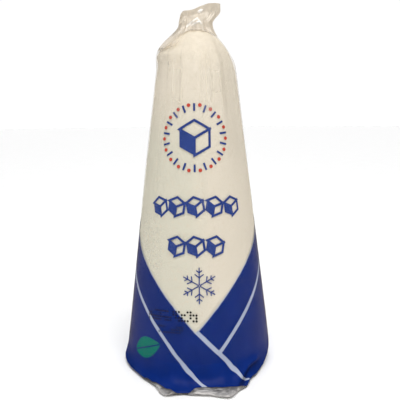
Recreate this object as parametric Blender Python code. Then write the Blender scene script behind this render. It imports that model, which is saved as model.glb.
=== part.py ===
"""A sugar loaf standing upright in its sealed film bag, as one closed solid.

The film lies tight on the loaf, so the bag's outer skin is the solid's whole shape: a flat
foot under pleated film, a slender cone, a shoulder where the film leaves the sugar and
draws in to a neck, and the flattened tuft of film above it. At the front the film's spare
end spreads out over the floor as a thin two-lobed flap.

The skin is a loft: closed sections of unlike form are stacked from the foot to the tuft
and joined by bands of faces. Front is -Y, up is +Z, and the origin is the centre of the
foot.
"""
import math

import bmesh
import bpy

MM = 0.001

# ---- driving dimensions ---------------------------------------------------------------
TOTAL_HEIGHT = 154.8 * MM        # floor to the tuft's highest point
BASE_RADIUS = 33.0 * MM          # film radius at the foot of the cone
SHOULDER_RADIUS = 16.8 * MM      # film radius where the shoulder starts
SHOULDER_HEIGHT = 127.5 * MM     # mean height of that start
NECK_HEIGHT = 146.4 * MM         # where the gathered film is narrowest
NECK_HALF_WIDTH = 6.7 * MM       # across X
NECK_HALF_DEPTH = 4.3 * MM       # across Y

FOOT_RADIUS = 27.5 * MM          # flat contact disc
RIM_LIFT = 0.45 * MM             # height of the film under the rim
CONE_BULGE = 0.30 * MM           # the cone's side is very slightly barrelled

FLAP_REACH = 5.0 * MM            # how far the front of the film flares past the cone
FLAP_HALF_ANGLE = math.radians(70.0)
FLAP_UNDER = 0.4 * MM            # the flap's lower face above the floor
FLAP_THICKNESS = 0.9 * MM        # two crumpled layers of film
FLAP_LOBES = (                   # angle from the front, half width, extra reach
    (math.radians(-18.0), math.radians(5.0), 5.4 * MM),
    (math.radians(17.0), math.radians(5.5), 6.2 * MM),
)

TUFT_LEFT_TOP = 151.1 * MM       # height of the tuft's torn edge on its low side
TUFT_LEFT_END = 5.3 * MM         # half width at the torn edge, low side
TUFT_RIGHT_END = 10.3 * MM       # half width at the torn edge, high side
TUFT_HALF_THICKNESS = 0.9 * MM   # of the flattened film at the torn edge
TUFT_WAVE = 1.5 * MM             # how far the flattened film waves front to back

PLEATS = 11                      # film pleats gathered at the neck
PLEAT_DEPTH = 0.55 * MM          # at the neck
FOOT_PLEATS = 16                 # pleats of the film under the foot
FOOT_PLEAT_DEPTH = 0.22 * MM
WALL_RELIEF = 0.16 * MM          # unevenness of the sugar's wall under the film

SEGMENTS = 84                    # points round each section
FRONT_CROWDING = 0.45            # closer points at the front, where the flap is
CONE_SECTIONS = 17
SHOULDER_SECTIONS = 12
TUFT_SECTIONS = 7

FILM_COLOUR = (0.80, 0.77, 0.69, 1.0)
FILM_ROUGHNESS = 0.28


# ---- small helpers --------------------------------------------------------------------
def smooth(t):
    """Ease from 0 to 1 with level ends."""
    t = min(max(t, 0.0), 1.0)
    return t * t * (3.0 - 2.0 * t)


def mix(a, b, t):
    return a + (b - a) * t


def polar(radius, angle, height):
    """Point at an angle from the front (-Y), positive towards +X."""
    return (radius * math.sin(angle), -radius * math.cos(angle), height)


def section_angles():
    """Angles of a section's points, crowded together at the front."""
    steps = [2.0 * math.pi * i / SEGMENTS for i in range(SEGMENTS)]
    return [step - FRONT_CROWDING * math.sin(step) for step in steps]


def from_front(angle):
    """The angle folded into -pi..pi, 0 at the front."""
    return math.atan2(math.sin(angle), math.cos(angle))


# ---- foot, flap and cone --------------------------------------------------------------
def cone_radius(height):
    share = height / SHOULDER_HEIGHT
    bulge = CONE_BULGE * math.sin(math.pi * min(share, 1.0))
    return mix(BASE_RADIUS, SHOULDER_RADIUS, share) + bulge


def wall_relief(angle, height):
    """Low, long dents that pressed sugar and tight film leave along the wall."""
    run = height / SHOULDER_HEIGHT
    first = math.sin(5.0 * angle + 4.0 * run)
    second = math.sin(9.0 * angle - 7.0 * run + 1.3)
    return WALL_RELIEF * 0.5 * (first + second) * smooth(run * 6.0)


def flap_reach(angle):
    """How far the film's end spreads past the cone, by direction."""
    turn = from_front(angle)
    if abs(turn) >= FLAP_HALF_ANGLE:
        return 0.0
    reach = FLAP_REACH * math.cos(0.5 * math.pi * turn / FLAP_HALF_ANGLE) ** 2
    for centre, half_width, extra in FLAP_LOBES:
        reach += extra * math.exp(-0.5 * ((turn - centre) / half_width) ** 2)
    return reach


def foot_section(angles, radius, lift):
    """A ring of the pleated film under the foot."""
    share = (radius - FOOT_RADIUS) / (BASE_RADIUS - FOOT_RADIUS)
    points = []
    for angle in angles:
        pleat = FOOT_PLEAT_DEPTH * 0.5 * (1.0 + math.cos(FOOT_PLEATS * angle))
        points.append(polar(radius, angle, lift + pleat * smooth(share * 2.0)))
    return points


def rim_section(angles, inset, height, flap_share, flap_height):
    """A ring round the rim that is drawn out into the flap at the front.

    Away from the flap it lies at height, inset from the cone's foot. In the flap it lies
    at flap_height, at flap_share of the flap's reach.
    """
    points = []
    for angle in angles:
        reach = flap_reach(angle)
        flatness = smooth(reach / FLAP_REACH)
        radius = cone_radius(height) - inset + flap_share * reach
        points.append(polar(radius, angle, mix(height, flap_height, flatness)))
    return points


def cone_section(angles, height):
    points = []
    for angle in angles:
        radius = cone_radius(height) + wall_relief(angle, height)
        points.append(polar(radius, angle, height))
    return points


# ---- shoulder, neck and tuft ----------------------------------------------------------
def shoulder_share(angle, height):
    """How far the film has drawn in from the shoulder (0) to the neck (1).

    The film clings longer on the left, where it bulges, and slopes away sooner on the
    right.
    """
    left = 0.5 * (1.0 - math.sin(angle))
    start = mix(126.0 * MM, 131.5 * MM, left)
    power = mix(1.22, 1.35, left)
    run = min(max((height - start) / (NECK_HEIGHT - start), 0.0), 1.0)
    return smooth(run ** power)


def shoulder_section(angles, height):
    points = []
    for angle in angles:
        share = shoulder_share(angle, height)
        wall = cone_radius(min(height, SHOULDER_HEIGHT))
        wall += wall_relief(angle, SHOULDER_HEIGHT) * (1.0 - share)
        pleat = PLEAT_DEPTH * math.cos(PLEATS * angle + 0.6) * share
        across = mix(wall, NECK_HALF_WIDTH, share) + pleat
        deep = mix(wall, NECK_HALF_DEPTH, share) + pleat
        points.append((across * math.sin(angle), -deep * math.cos(angle), height))
    return points


def torn_edge_height(x):
    """Height of the tuft's upper edge, which climbs from left to right."""
    climb = smooth((x + 2.5 * MM) / (9.5 * MM))
    droop = 0.5 * MM * smooth((x - 7.5 * MM) / (3.0 * MM))
    return mix(TUFT_LEFT_TOP, TOTAL_HEIGHT, climb) - droop


def tuft_section(angles, share):
    """A section of the tuft, from the neck (0) to the torn edge (1)."""
    left = NECK_HALF_WIDTH + 0.8 * MM * share
    left -= (NECK_HALF_WIDTH + 0.8 * MM - TUFT_LEFT_END) * share ** 2
    right = mix(NECK_HALF_WIDTH, TUFT_RIGHT_END, smooth(share * 1.5))
    thickness = mix(NECK_HALF_DEPTH, TUFT_HALF_THICKNESS, smooth(share * 1.6))
    points = []
    for angle in angles:
        side = math.sin(angle)
        pleat = math.cos(PLEATS * angle + 0.6) * mix(PLEAT_DEPTH, 0.25 * MM, share)
        x = side * (right if side > 0.0 else left) + pleat * side
        wave = TUFT_WAVE * share * math.sin(x / (2.6 * MM) + 0.8)
        y = wave - (thickness + pleat * (1.0 - 0.6 * share)) * math.cos(angle)
        z = mix(NECK_HEIGHT, torn_edge_height(x), share)
        points.append((x, y, z))
    return points


# ---- the loft -------------------------------------------------------------------------
def all_sections():
    """Every section of the skin, from the foot's contact disc up to the torn edge."""
    angles = section_angles()
    sections = [
        [polar(FOOT_RADIUS, angle, 0.0) for angle in angles],
        foot_section(angles, FOOT_RADIUS + 1.6 * MM, RIM_LIFT),
        rim_section(angles, 1.2 * MM, RIM_LIFT + 0.1 * MM, 0.0, FLAP_UNDER),
        rim_section(angles, 0.4 * MM, 0.8 * MM, 0.55, FLAP_UNDER),
        rim_section(angles, 0.05 * MM, 1.2 * MM, 1.0, FLAP_UNDER + 0.1 * MM),
        rim_section(angles, 0.0, 1.8 * MM, 0.98, FLAP_UNDER + FLAP_THICKNESS),
        rim_section(angles, 0.0, 2.9 * MM, 0.66, 1.9 * MM),
        rim_section(angles, 0.0, 4.4 * MM, 0.36, 3.0 * MM),
        rim_section(angles, 0.0, 6.4 * MM, 0.15, 5.2 * MM),
    ]
    cone_foot = 9.5 * MM
    for i in range(CONE_SECTIONS):
        height = mix(cone_foot, 125.0 * MM, i / (CONE_SECTIONS - 1))
        sections.append(cone_section(angles, height))
    for i in range(1, SHOULDER_SECTIONS + 1):
        height = mix(125.5 * MM, NECK_HEIGHT, i / SHOULDER_SECTIONS)
        sections.append(shoulder_section(angles, height))
    for i in range(1, TUFT_SECTIONS + 1):
        sections.append(tuft_section(angles, i / TUFT_SECTIONS))
    return sections


def join_rings(mesh, lower, upper):
    """A band of faces between two rings of as many vertices."""
    count = len(lower)
    for i in range(count):
        j = (i + 1) % count
        mesh.faces.new((lower[i], lower[j], upper[j], upper[i]))


def close_torn_edge(mesh, ring):
    """Zip the top ring's front half to its back half, across the thin direction."""
    count = len(ring)
    quarter = count // 4
    left_end = count - quarter
    front = [ring[(left_end + i) % count] for i in range(count // 2 + 1)]
    back = [ring[(left_end - i) % count] for i in range(count // 2 + 1)]
    for i in range(count // 2):
        corners = [front[i], front[i + 1], back[i + 1], back[i]]
        face = []
        for corner in corners:
            if corner not in face:
                face.append(corner)
        mesh.faces.new(face)


def film_material():
    material = bpy.data.materials.new("clear_film")
    material.use_nodes = True
    shader = material.node_tree.nodes["Principled BSDF"]
    shader.inputs["Base Color"].default_value = FILM_COLOUR
    shader.inputs["Roughness"].default_value = FILM_ROUGHNESS
    shader.inputs["Metallic"].default_value = 0.0
    return material


def build_bagged_loaf(collection):
    mesh = bmesh.new()
    rings = [[mesh.verts.new(point) for point in ring] for ring in all_sections()]
    mesh.faces.new(list(reversed(rings[0])))
    for lower, upper in zip(rings, rings[1:]):
        join_rings(mesh, lower, upper)
    close_torn_edge(mesh, rings[-1])
    bmesh.ops.recalc_face_normals(mesh, faces=mesh.faces)
    bmesh.ops.triangulate(mesh, faces=mesh.faces)
    data = bpy.data.meshes.new("bagged_sugar_loaf")
    mesh.to_mesh(data)
    mesh.free()
    data.shade_smooth()
    data.set_sharp_from_angle(angle=math.radians(40.0))
    data.materials.append(film_material())
    loaf = bpy.data.objects.new("bagged_sugar_loaf", data)
    collection.objects.link(loaf)
    return loaf


def main():
    for old in list(bpy.data.objects):
        bpy.data.objects.remove(old)
    collection = bpy.data.collections.new("sugar_loaf")
    bpy.context.scene.collection.children.link(collection)
    build_bagged_loaf(collection)


main()
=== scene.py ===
# %% [markdown]
# # A sugar loaf in its film bag
#
# A sugar loaf is damp sugar pressed into a tall cone and dried. This one is sold in a bag of
# clear film, drawn tight over the cone, printed deep blue round its lower half and gathered
# into a short tuft above the tip. The lesson starts with the film, whose shape all the rest
# follows. It goes on to the sugar with its loose crystals, and ends with the ink, which lies
# on the inner side of the film.
#
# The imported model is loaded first. It fixes the size and the place of everything below.

import math

import bmesh
import bpy
from mathutils import Euler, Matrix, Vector, noise


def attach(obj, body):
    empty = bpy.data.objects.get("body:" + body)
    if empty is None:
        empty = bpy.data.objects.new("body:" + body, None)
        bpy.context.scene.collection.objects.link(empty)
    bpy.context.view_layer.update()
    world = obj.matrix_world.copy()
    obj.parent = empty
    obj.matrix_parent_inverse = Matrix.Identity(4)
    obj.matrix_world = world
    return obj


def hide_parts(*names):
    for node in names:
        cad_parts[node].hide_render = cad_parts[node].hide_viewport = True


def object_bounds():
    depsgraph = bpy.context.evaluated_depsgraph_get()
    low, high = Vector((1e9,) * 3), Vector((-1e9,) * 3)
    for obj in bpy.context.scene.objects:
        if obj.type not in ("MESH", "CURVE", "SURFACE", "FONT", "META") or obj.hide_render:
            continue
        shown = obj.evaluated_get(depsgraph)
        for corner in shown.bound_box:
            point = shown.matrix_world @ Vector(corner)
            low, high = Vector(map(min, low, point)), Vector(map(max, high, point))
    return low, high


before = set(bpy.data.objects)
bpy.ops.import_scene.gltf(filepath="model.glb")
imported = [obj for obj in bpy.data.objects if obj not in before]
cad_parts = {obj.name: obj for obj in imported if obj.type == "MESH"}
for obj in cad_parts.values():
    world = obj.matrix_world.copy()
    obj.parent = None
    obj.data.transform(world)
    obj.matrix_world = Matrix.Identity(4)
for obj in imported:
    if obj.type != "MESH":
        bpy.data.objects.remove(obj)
cad_low, cad_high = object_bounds()
NODE = "bagged_sugar_loaf"
print("frame box in mm", [round(1000 * v, 1) for v in (*cad_low, *cad_high)])

# %% [markdown]
# ## Sizes
#
# All sizes are metres, written in millimetres times MM. They repeat the construction's own
# sizes: a cone 33 mm in radius at the foot, a shoulder where the film leaves the sugar, a
# narrow neck and the torn edge of the tuft. The total height is read from the frame.

# %% Driving sizes
MM = 0.001
TOTAL_HEIGHT = cad_high.z
BASE_RADIUS = 33.0 * MM
SHOULDER_RADIUS = 16.8 * MM
SHOULDER_HEIGHT = 127.5 * MM
NECK_HEIGHT = 146.4 * MM
NECK_HALF_WIDTH = 6.7 * MM
NECK_HALF_DEPTH = 4.3 * MM
CONE_BULGE = 0.30 * MM
SLOPE = (BASE_RADIUS - SHOULDER_RADIUS) / SHOULDER_HEIGHT
HALF_ANGLE = math.atan(SLOPE)
APEX_HEIGHT = BASE_RADIUS / SLOPE
print("cone half angle", round(math.degrees(HALF_ANGLE), 2), "degrees")

# %% [markdown]
# ## Camera
#
# The photograph was taken from close by, as with a phone: the foot is seen well from above
# and the tuft almost level. A camera 236 mm in front of the loaf's axis and 112 mm up, tipped
# down by 9.7 degrees, gives that perspective. It is turned half a degree about its own axis.

# %% Camera
CAMERA_PLACE = Vector((1.2 * MM, -236.0 * MM, 112.0 * MM))
CAMERA_TIP = math.radians(9.7)
CAMERA_ROLL = math.radians(-0.5)
FOCAL_PIXELS = 541.0
FRAME_PIXELS = 400.0
SENSOR_WIDTH = 36.0
NEAREST_SEEN = 10.0 * MM


def in_scene(name, data):
    """A new object that holds the data, linked to the scene."""
    thing = bpy.data.objects.new(name, data)
    bpy.context.scene.collection.objects.link(thing)
    return thing


camera_data = bpy.data.cameras.new("camera")
camera_data.sensor_width = SENSOR_WIDTH
camera_data.lens = FOCAL_PIXELS / FRAME_PIXELS * SENSOR_WIDTH
camera_data.clip_start = NEAREST_SEEN
camera = in_scene("camera", camera_data)
camera.location = CAMERA_PLACE
look = Euler((math.radians(90.0) - CAMERA_TIP, 0.0, 0.0)).to_matrix()
camera.rotation_euler = (look @ Euler((0.0, 0.0, CAMERA_ROLL)).to_matrix()).to_euler()
bpy.context.scene.camera = camera
print("lens", round(camera_data.lens, 1), "mm")

# %% [markdown]
# ## Node helpers
#
# Every finish here is a small node tree, and so are the rules of Geometry Nodes further on.
# These helpers keep them short: one adds a node with its settings and inputs, others do sums,
# take a vector apart or put one together, give a noise pattern in the object's own metres,
# and turn a value into another range or into a colour.

# %% Node helpers
def new_material(name):
    material = bpy.data.materials.new(name)
    material.use_nodes = True
    material.node_tree.nodes.clear()
    return material, material.node_tree


def add(tree, kind, inputs=None, **settings):
    """Adds a node; an input is a value or another node's output socket."""
    node = tree.nodes.new(kind)
    for key, value in settings.items():
        setattr(node, key, value)
    for key, value in (inputs or {}).items():
        if isinstance(value, bpy.types.NodeSocket):
            tree.links.new(value, node.inputs[key])
        else:
            node.inputs[key].default_value = value
    return node


def calc(tree, operation, *values):
    """A Math node; gives its output socket."""
    return add(tree, "ShaderNodeMath", dict(enumerate(values)), operation=operation).outputs[0]


def times(tree, first, second):
    return calc(tree, "MULTIPLY", first, second)


def minus(tree, first, second):
    return calc(tree, "SUBTRACT", first, second)


def split(tree, vector):
    return add(tree, "ShaderNodeSeparateXYZ", {0: vector}).outputs


def joined(tree, **parts):
    """A vector from its parts X, Y and Z; a part left out is 0."""
    return add(tree, "ShaderNodeCombineXYZ", parts).outputs[0]


def own_place(tree):
    """The shaded point's place in the object's own metres."""
    return add(tree, "ShaderNodeTexCoord").outputs["Object"]


def pattern(tree, size, detail=2.0, roughness=0.5):
    """Noise over the object's own place; size is the size of one blotch in metres."""
    return add(tree, "ShaderNodeTexNoise", {
        "Vector": own_place(tree), "Scale": 1.0 / size,
        "Detail": detail, "Roughness": roughness}).outputs["Fac"]


def ramp(tree, value, low, high, to_low=0.0, to_high=1.0):
    """Maps value from low..high to to_low..to_high, held at both ends."""
    return add(tree, "ShaderNodeMapRange", {
        "Value": value, "From Min": low, "From Max": high,
        "To Min": to_low, "To Max": to_high}).outputs["Result"]


def soft_ramp(tree, value, low, high):
    """Maps value from low..high to 0..1 with soft ends."""
    return add(tree, "ShaderNodeMapRange", {
        "Value": value, "From Min": low, "From Max": high},
        interpolation_type="SMOOTHSTEP").outputs["Result"]


def blend_colour(tree, share, first, second):
    node = add(tree, "ShaderNodeMix", data_type="RGBA")
    tree.links.new(share, node.inputs["Factor"])
    for socket, colour in ((node.inputs[6], first), (node.inputs[7], second)):
        if isinstance(colour, bpy.types.NodeSocket):
            tree.links.new(colour, socket)
        else:
            socket.default_value = (*colour, 1.0)
    return node.outputs[2]


def finish_with(tree, shader):
    add(tree, "ShaderNodeOutputMaterial", {"Surface": shader.outputs[0]})

# %% [markdown]
# ## The bag's skin as a rule
#
# The film follows one rule from the foot to the neck: a radius for every direction and
# height. The same rule later places the ink, so the print can never float or sink. Angles
# are measured from the front, positive towards the right.

# %% Easing helpers
def smooth(t):
    t = min(max(t, 0.0), 1.0)
    return t * t * (3.0 - 2.0 * t)


def mix(a, b, t):
    return a + (b - a) * t


def hump(value, centre, half_width):
    """A soft bump of height 1 round a centre."""
    return math.exp(-((value - centre) / half_width) ** 2)


def window(value, start, rise, end, fall):
    """1 between start and end, eased in over rise and out over fall."""
    return smooth((value - start) / rise) * smooth((end - value) / fall)


def from_front(angle):
    return math.atan2(math.sin(angle), math.cos(angle))


def degrees_from_front(angle):
    return math.degrees(from_front(angle))


def spread(low, high, count):
    return [mix(low, high, i / (count - 1)) for i in range(count)]


def table_curve(rows, column, at):
    """A smooth curve through one column of a table whose first column is the position."""
    last = len(rows) - 1
    k = 0
    while k < last - 1 and at > rows[k + 1][0]:
        k += 1
    x0, x1 = rows[k][0], rows[k + 1][0]
    y0, y1 = rows[k][column], rows[k + 1][column]
    before, after = rows[max(k - 1, 0)], rows[min(k + 2, last)]
    m0 = (y1 - before[column]) / max(x1 - before[0], 1e-9) * (x1 - x0)
    m1 = (after[column] - y0) / max(after[0] - x0, 1e-9) * (x1 - x0)
    t = min(max((at - x0) / (x1 - x0), 0.0), 1.0)
    a, b = 2 * t ** 3 - 3 * t ** 2 + 1, t ** 3 - 2 * t ** 2 + t
    c, d = 3 * t ** 2 - 2 * t ** 3, t ** 3 - t ** 2
    return a * y0 + b * m0 + c * y1 + d * m1

# %% [markdown]
# ### Folds and crinkles
#
# Shrunk film is never smooth. Long, faint tension folds run down from the shoulder, some
# raised and some sunk. Sharp little crinkles gather near the foot and beside the left band.
# At the right of the foot the film is folded over itself, and down the back runs the lap
# seam where the sheet was joined to a tube. The film can rise freely, but the sugar behind
# it stops it sinking.

# %% Folds in the wall
TENSION_FOLDS = (   # degrees from the front, half width in degrees, rise and lowest point in mm
    (-56.0, 3.0, 0.16, 90.0), (-39.0, 1.8, 0.30, 112.0), (-29.0, 2.6, -0.12, 80.0),
    (-19.0, 1.5, 0.24, 96.0), (-8.0, 4.5, -0.10, 60.0), (9.0, 3.6, 0.14, 60.0),
    (23.0, 2.2, 0.16, 96.0), (34.0, 2.2, -0.22, 84.0), (41.0, 2.0, 0.20, 74.0),
    (54.0, 2.8, -0.16, 86.0), (66.0, 2.6, 0.20, 92.0), (88.0, 3.0, 0.22, 80.0),
    (112.0, 4.0, -0.18, 70.0), (131.0, 3.0, 0.26, 64.0), (158.0, 3.4, 0.18, 76.0),
    (-78.0, 3.0, 0.20, 92.0), (-104.0, 3.6, -0.18, 66.0), (-127.0, 3.0, 0.24, 74.0),
    (-152.0, 3.2, -0.16, 84.0),
)
FOLD_SWAY = 0.02
FOLD_SWAY_LENGTH = 21.0 * MM
WALL_RELIEF = 0.16 * MM
DEEPEST = 0.13 * MM
CRINKLE_SIZE = 3.4 * MM
CRINKLE_HEIGHT = 0.14 * MM
CRINKLE_LEAST = 0.16
CRINKLE_FOOT, CRINKLE_FOOT_TOP = 0.9, 20.0 * MM
CRINKLE_SIDE, CRINKLE_SIDE_ANGLE, CRINKLE_SIDE_HEIGHT = 0.5, math.radians(-34.0), 46.0 * MM
SEAM_HALF_DEGREES = 10.0
SEAM_RISE = 0.16 * MM
TUCK_LINE = (1.6 * MM, 5.2 * MM)
GROOVE_DEPTH, GROOVE_HALF = 0.5 * MM, 0.7 * MM
BULGE_RISE, BULGE_ABOVE, BULGE_HALF = 1.2 * MM, 2.0 * MM, 1.4 * MM


def tension_folds(angle, height):
    total = 0.0
    for at, half_width, rise, lowest in TENSION_FOLDS:
        lean = math.radians(at) + FOLD_SWAY * math.sin(height / FOLD_SWAY_LENGTH + at)
        near = from_front(angle - lean) / math.radians(half_width)
        if abs(near) < 3.0:
            fade = smooth((height / MM - lowest) / (SHOULDER_HEIGHT / MM - lowest))
            total += rise * MM * math.exp(-near * near) * fade
    return total


def crinkle(angle, height):
    """Sharp-crested wrinkles, read from noise on a tube of 30 mm radius."""
    place = Vector((math.sin(angle), -math.cos(angle), 0.0)) * 30.0 * MM
    place.z = 0.45 * height
    swell = noise.noise(place / (5.0 * CRINKLE_SIZE) + Vector((7.3, 1.1, 2.9)))
    crest = 1.0 - 2.2 * abs(noise.noise(place / CRINKLE_SIZE))
    level = CRINKLE_LEAST + CRINKLE_FOOT * smooth(1.0 - height / CRINKLE_FOOT_TOP)
    level += CRINKLE_SIDE * hump(from_front(angle), CRINKLE_SIDE_ANGLE, 0.30) * hump(
        height, CRINKLE_SIDE_HEIGHT, 16.0 * MM)
    return CRINKLE_HEIGHT * level * max(crest, -0.4) * (0.7 + swell)


def wall_relief(angle, height):
    run = height / SHOULDER_HEIGHT
    first = math.sin(5.0 * angle + 4.0 * run)
    second = math.sin(9.0 * angle - 7.0 * run + 1.3)
    return WALL_RELIEF * 0.5 * (first + second) * smooth(run * 6.0)


def lap_seam(angle):
    """The back seam: one edge of the sheet lies over the other."""
    away = degrees_from_front(angle - math.pi)
    return SEAM_RISE * window(away, -SEAM_HALF_DEGREES, 1.2, SEAM_HALF_DEGREES, 2.5)


def tuck_line(angle):
    """Height of the tuck's fold in one direction, and how present it is there."""
    turn = degrees_from_front(angle)
    return mix(*TUCK_LINE, smooth((turn - 19.0) / 26.0)), window(turn, 21.0, 8.0, 58.0, 12.0)


def foot_tuck(angle, height):
    """Film folded over itself at the right of the foot: a slanting bulge above a groove."""
    line, present = tuck_line(angle)
    groove = -GROOVE_DEPTH * hump(height, line, GROOVE_HALF)
    bulge = BULGE_RISE * hump(height, line + BULGE_ABOVE, BULGE_HALF)
    return (groove + bulge) * present


def relief(angle, height):
    """All that lifts the film off the plain cone, with its hollows held to DEEPEST."""
    lift = (crinkle(angle, height) + wall_relief(angle, height) + lap_seam(angle)
            + tension_folds(angle, height) + foot_tuck(angle, height))
    return lift if lift > 0.0 else DEEPEST * math.tanh(lift / DEEPEST)


print("relief at 110 mm, in hundredths of a mm:",
      [round(1e5 * relief(math.radians(turn), 110.0 * MM)) for turn in (-39, -19, 0, 23, 180)])

# %% [markdown]
# ### Foot, flap and wall
#
# The rim table says how the lowest 9.5 mm of film run. Away from the flap a line lies at its
# own height, set in a little where the film rounds under the foot. In the flap, where the
# bag's end is folded out in front, the same line lies lower and further out, at a share of
# the flap's reach. Heights in that zone are therefore only names for the lines.

# %% The skin from the foot to the shoulder
FLARE_TOP = 9.5 * MM
FOOT_SHIFT, FOOT_SHIFT_TOP = 0.9 * MM, 8.0 * MM
FOOT_CUT, FOOT_CUT_TOP = 0.9 * MM, 5.0 * MM
LOWEST_FILM = 0.3 * MM
FLAP_CALM = 0.6
FLAP_REACH = 5.0 * MM
FLAP_HALF_ANGLE = math.radians(61.0)
FLAP_LOBES = (      # angle from the front, half width, extra reach
    (math.radians(-19.0), math.radians(5.0), 4.2 * MM),
    (math.radians(4.0), math.radians(8.0), 1.6 * MM),
    (math.radians(17.0), math.radians(5.0), 5.6 * MM),
    (math.radians(30.0), math.radians(5.0), 3.0 * MM),
)
INK_BOTTOM = (      # degrees from the front, the line on which the blue ink ends
    (-76.0, 0.70 * MM), (-60.0, 0.58 * MM), (-50.0, 0.58 * MM), (-43.0, 0.95 * MM),
    (-37.9, 1.90 * MM), (-31.5, 1.90 * MM), (-25.2, 2.71 * MM), (-17.0, 2.67 * MM),
    (-13.0, 1.66 * MM), (-9.7, 1.52 * MM), (-6.2, 1.64 * MM), (-2.2, 2.95 * MM),
    (2.1, 3.28 * MM), (10.2, 3.42 * MM), (16.0, 3.39 * MM), (21.2, 2.89 * MM),
    (25.9, 2.14 * MM), (30.7, 1.45 * MM), (36.0, 1.30 * MM), (76.0, 0.70 * MM),
)
RIM_TABLE = (       # line's height, inset, share of the flap's reach, height in the flap
    (0.55 * MM, 1.20 * MM, 0.00, 0.40 * MM),
    (0.80 * MM, 0.40 * MM, 0.55, 0.40 * MM),
    (1.20 * MM, 0.05 * MM, 1.00, 0.50 * MM),
    (1.80 * MM, 0.00 * MM, 0.98, 1.20 * MM),
    (2.90 * MM, 0.00 * MM, 0.66, 1.90 * MM),
    (4.40 * MM, 0.00 * MM, 0.36, 3.00 * MM),
    (6.40 * MM, 0.00 * MM, 0.15, 5.20 * MM),
    (9.50 * MM, 0.00 * MM, 0.00, 9.50 * MM),
)


def ink_bottom(angle):
    """The line on which the blue ends: the rim, or part way out along the flap."""
    turn = degrees_from_front(angle)
    return table_curve(INK_BOTTOM, 1, min(max(turn, INK_BOTTOM[0][0]), INK_BOTTOM[-1][0]))


def cone_radius(height):
    share = height / SHOULDER_HEIGHT
    bulge = CONE_BULGE * math.sin(math.pi * min(share, 1.0))
    return mix(BASE_RADIUS, SHOULDER_RADIUS, share) + bulge


def flap_reach(angle):
    turn = from_front(angle)
    if abs(turn) >= FLAP_HALF_ANGLE:
        return 0.0
    reach = FLAP_REACH * math.cos(0.5 * math.pi * turn / FLAP_HALF_ANGLE) ** 2
    for centre, half_width, extra in FLAP_LOBES:
        reach += extra * math.exp(-0.5 * ((turn - centre) / half_width) ** 2)
    return reach


def flatness(angle):
    """0 where the film stands up from the rim, 1 where it lies flat in the flap."""
    return smooth(flap_reach(angle) / FLAP_REACH)


def flap_crumple(angle, share):
    """Waves and creases of the flap's film, which lift it off the floor in places."""
    turn = from_front(angle)
    wave = 0.20 * math.sin(turn * 23.0 + 0.9) + 0.14 * math.sin(turn * 51.0 - 4.0 * share)
    return MM * (0.22 + wave) * share * flatness(angle)


def foot_shift(angle, height):
    """The foot's edge stands further left than the wall, and its right is cut off straight."""
    turn = degrees_from_front(angle)
    cut = FOOT_CUT * (hump(turn, 46.0, 6.5) - hump(turn, 74.0, 10.0))
    shift = -FOOT_SHIFT * math.sin(angle) * smooth(1.0 - height / FOOT_SHIFT_TOP)
    return shift + cut * smooth(1.0 - height / FOOT_CUT_TOP)


def skin_point(angle, height, depth=0.0):
    """Point of the film at a direction and a line's height, depth below its surface."""
    lift = relief(angle, height)
    if height >= FLARE_TOP:
        radius = cone_radius(height) + lift - depth
        return (radius * math.sin(angle), -radius * math.cos(angle), height)
    inset, share, low = (table_curve(RIM_TABLE, column, height) for column in (1, 2, 3))
    flat = flatness(angle)
    radius = cone_radius(height) - inset + share * flap_reach(angle)
    radius += lift * (1.0 - FLAP_CALM * share * flat) - depth * (1.0 - FLAP_CALM * flat)
    radius += foot_shift(angle, height)
    z = mix(height, low, flat) + flap_crumple(angle, share) - depth * flat * 0.5
    return (radius * math.sin(angle), -radius * math.cos(angle), max(z, LOWEST_FILM))


print("flap reaches out in mm:",
      [round(1000 * flap_reach(math.radians(turn)), 1) for turn in (-40, -19, 0, 17, 30, 50)])

# %% [markdown]
# ### Shoulder
#
# Above the sugar's shoulder the film is drawn in. It clings longer on the left, where it
# bulges, and it falls into pleats that deepen towards the neck. The sugar's dome is half of
# an egg, and the film can't pass through it, so the rule pushes the pleats out to the dome
# where they would cut it.

# %% The skin of the shoulder
DOME_HALF_WIDTH = 17.28 * MM
DOME_HALF_HEIGHT = 24.3 * MM
SUGAR_TIP = 144.1 * MM
DOME_CENTRE = SUGAR_TIP - DOME_HALF_HEIGHT
LEFT_SWELL = 2.3 * MM
SWELL_HEIGHT = 134.0 * MM
SWELL_HALF = 3.2 * MM
SWELL_REACH = 11.0 * MM
PLEATS = 13
PLEAT_DEPTH = 0.55 * MM
DRAWN_FROM = (126.0 * MM, 131.5 * MM)   # where the film leaves the wall, right and left
DRAWN_POWER = (1.22, 1.35)              # how long it clings there, right and left
FILM_TO_DOME = 0.28 * MM


def pleat_wave(angle):
    """Uneven pleats with narrow crests and wide hollows, from -1 to 1."""
    drift = 0.55 * math.sin(angle + 0.7) + 0.35 * math.sin(3.0 * angle + 1.9)
    phase = 0.5 * (PLEATS * angle + 2.0 * drift)
    return 1.0 - 2.0 * abs(math.sin(phase)) ** 1.3


def shoulder_share(angle, height):
    """0 on the wall, 1 at the neck."""
    left = 0.5 * (1.0 - math.sin(angle))
    start, power = mix(*DRAWN_FROM, left), mix(*DRAWN_POWER, left)
    run = min(max((height - start) / (NECK_HEIGHT - start), 0.0), 1.0)
    return smooth(run ** power)


def dome_radius(height):
    up = (height - DOME_CENTRE) / DOME_HALF_HEIGHT
    return DOME_HALF_WIDTH * math.sqrt(max(1.0 - up * up, 0.0))


def left_swell(x, height):
    """The loaf's left shoulder is fuller than its right one."""
    return LEFT_SWELL * smooth(-x / SWELL_REACH) * hump(height, SWELL_HEIGHT, SWELL_HALF)


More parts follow.
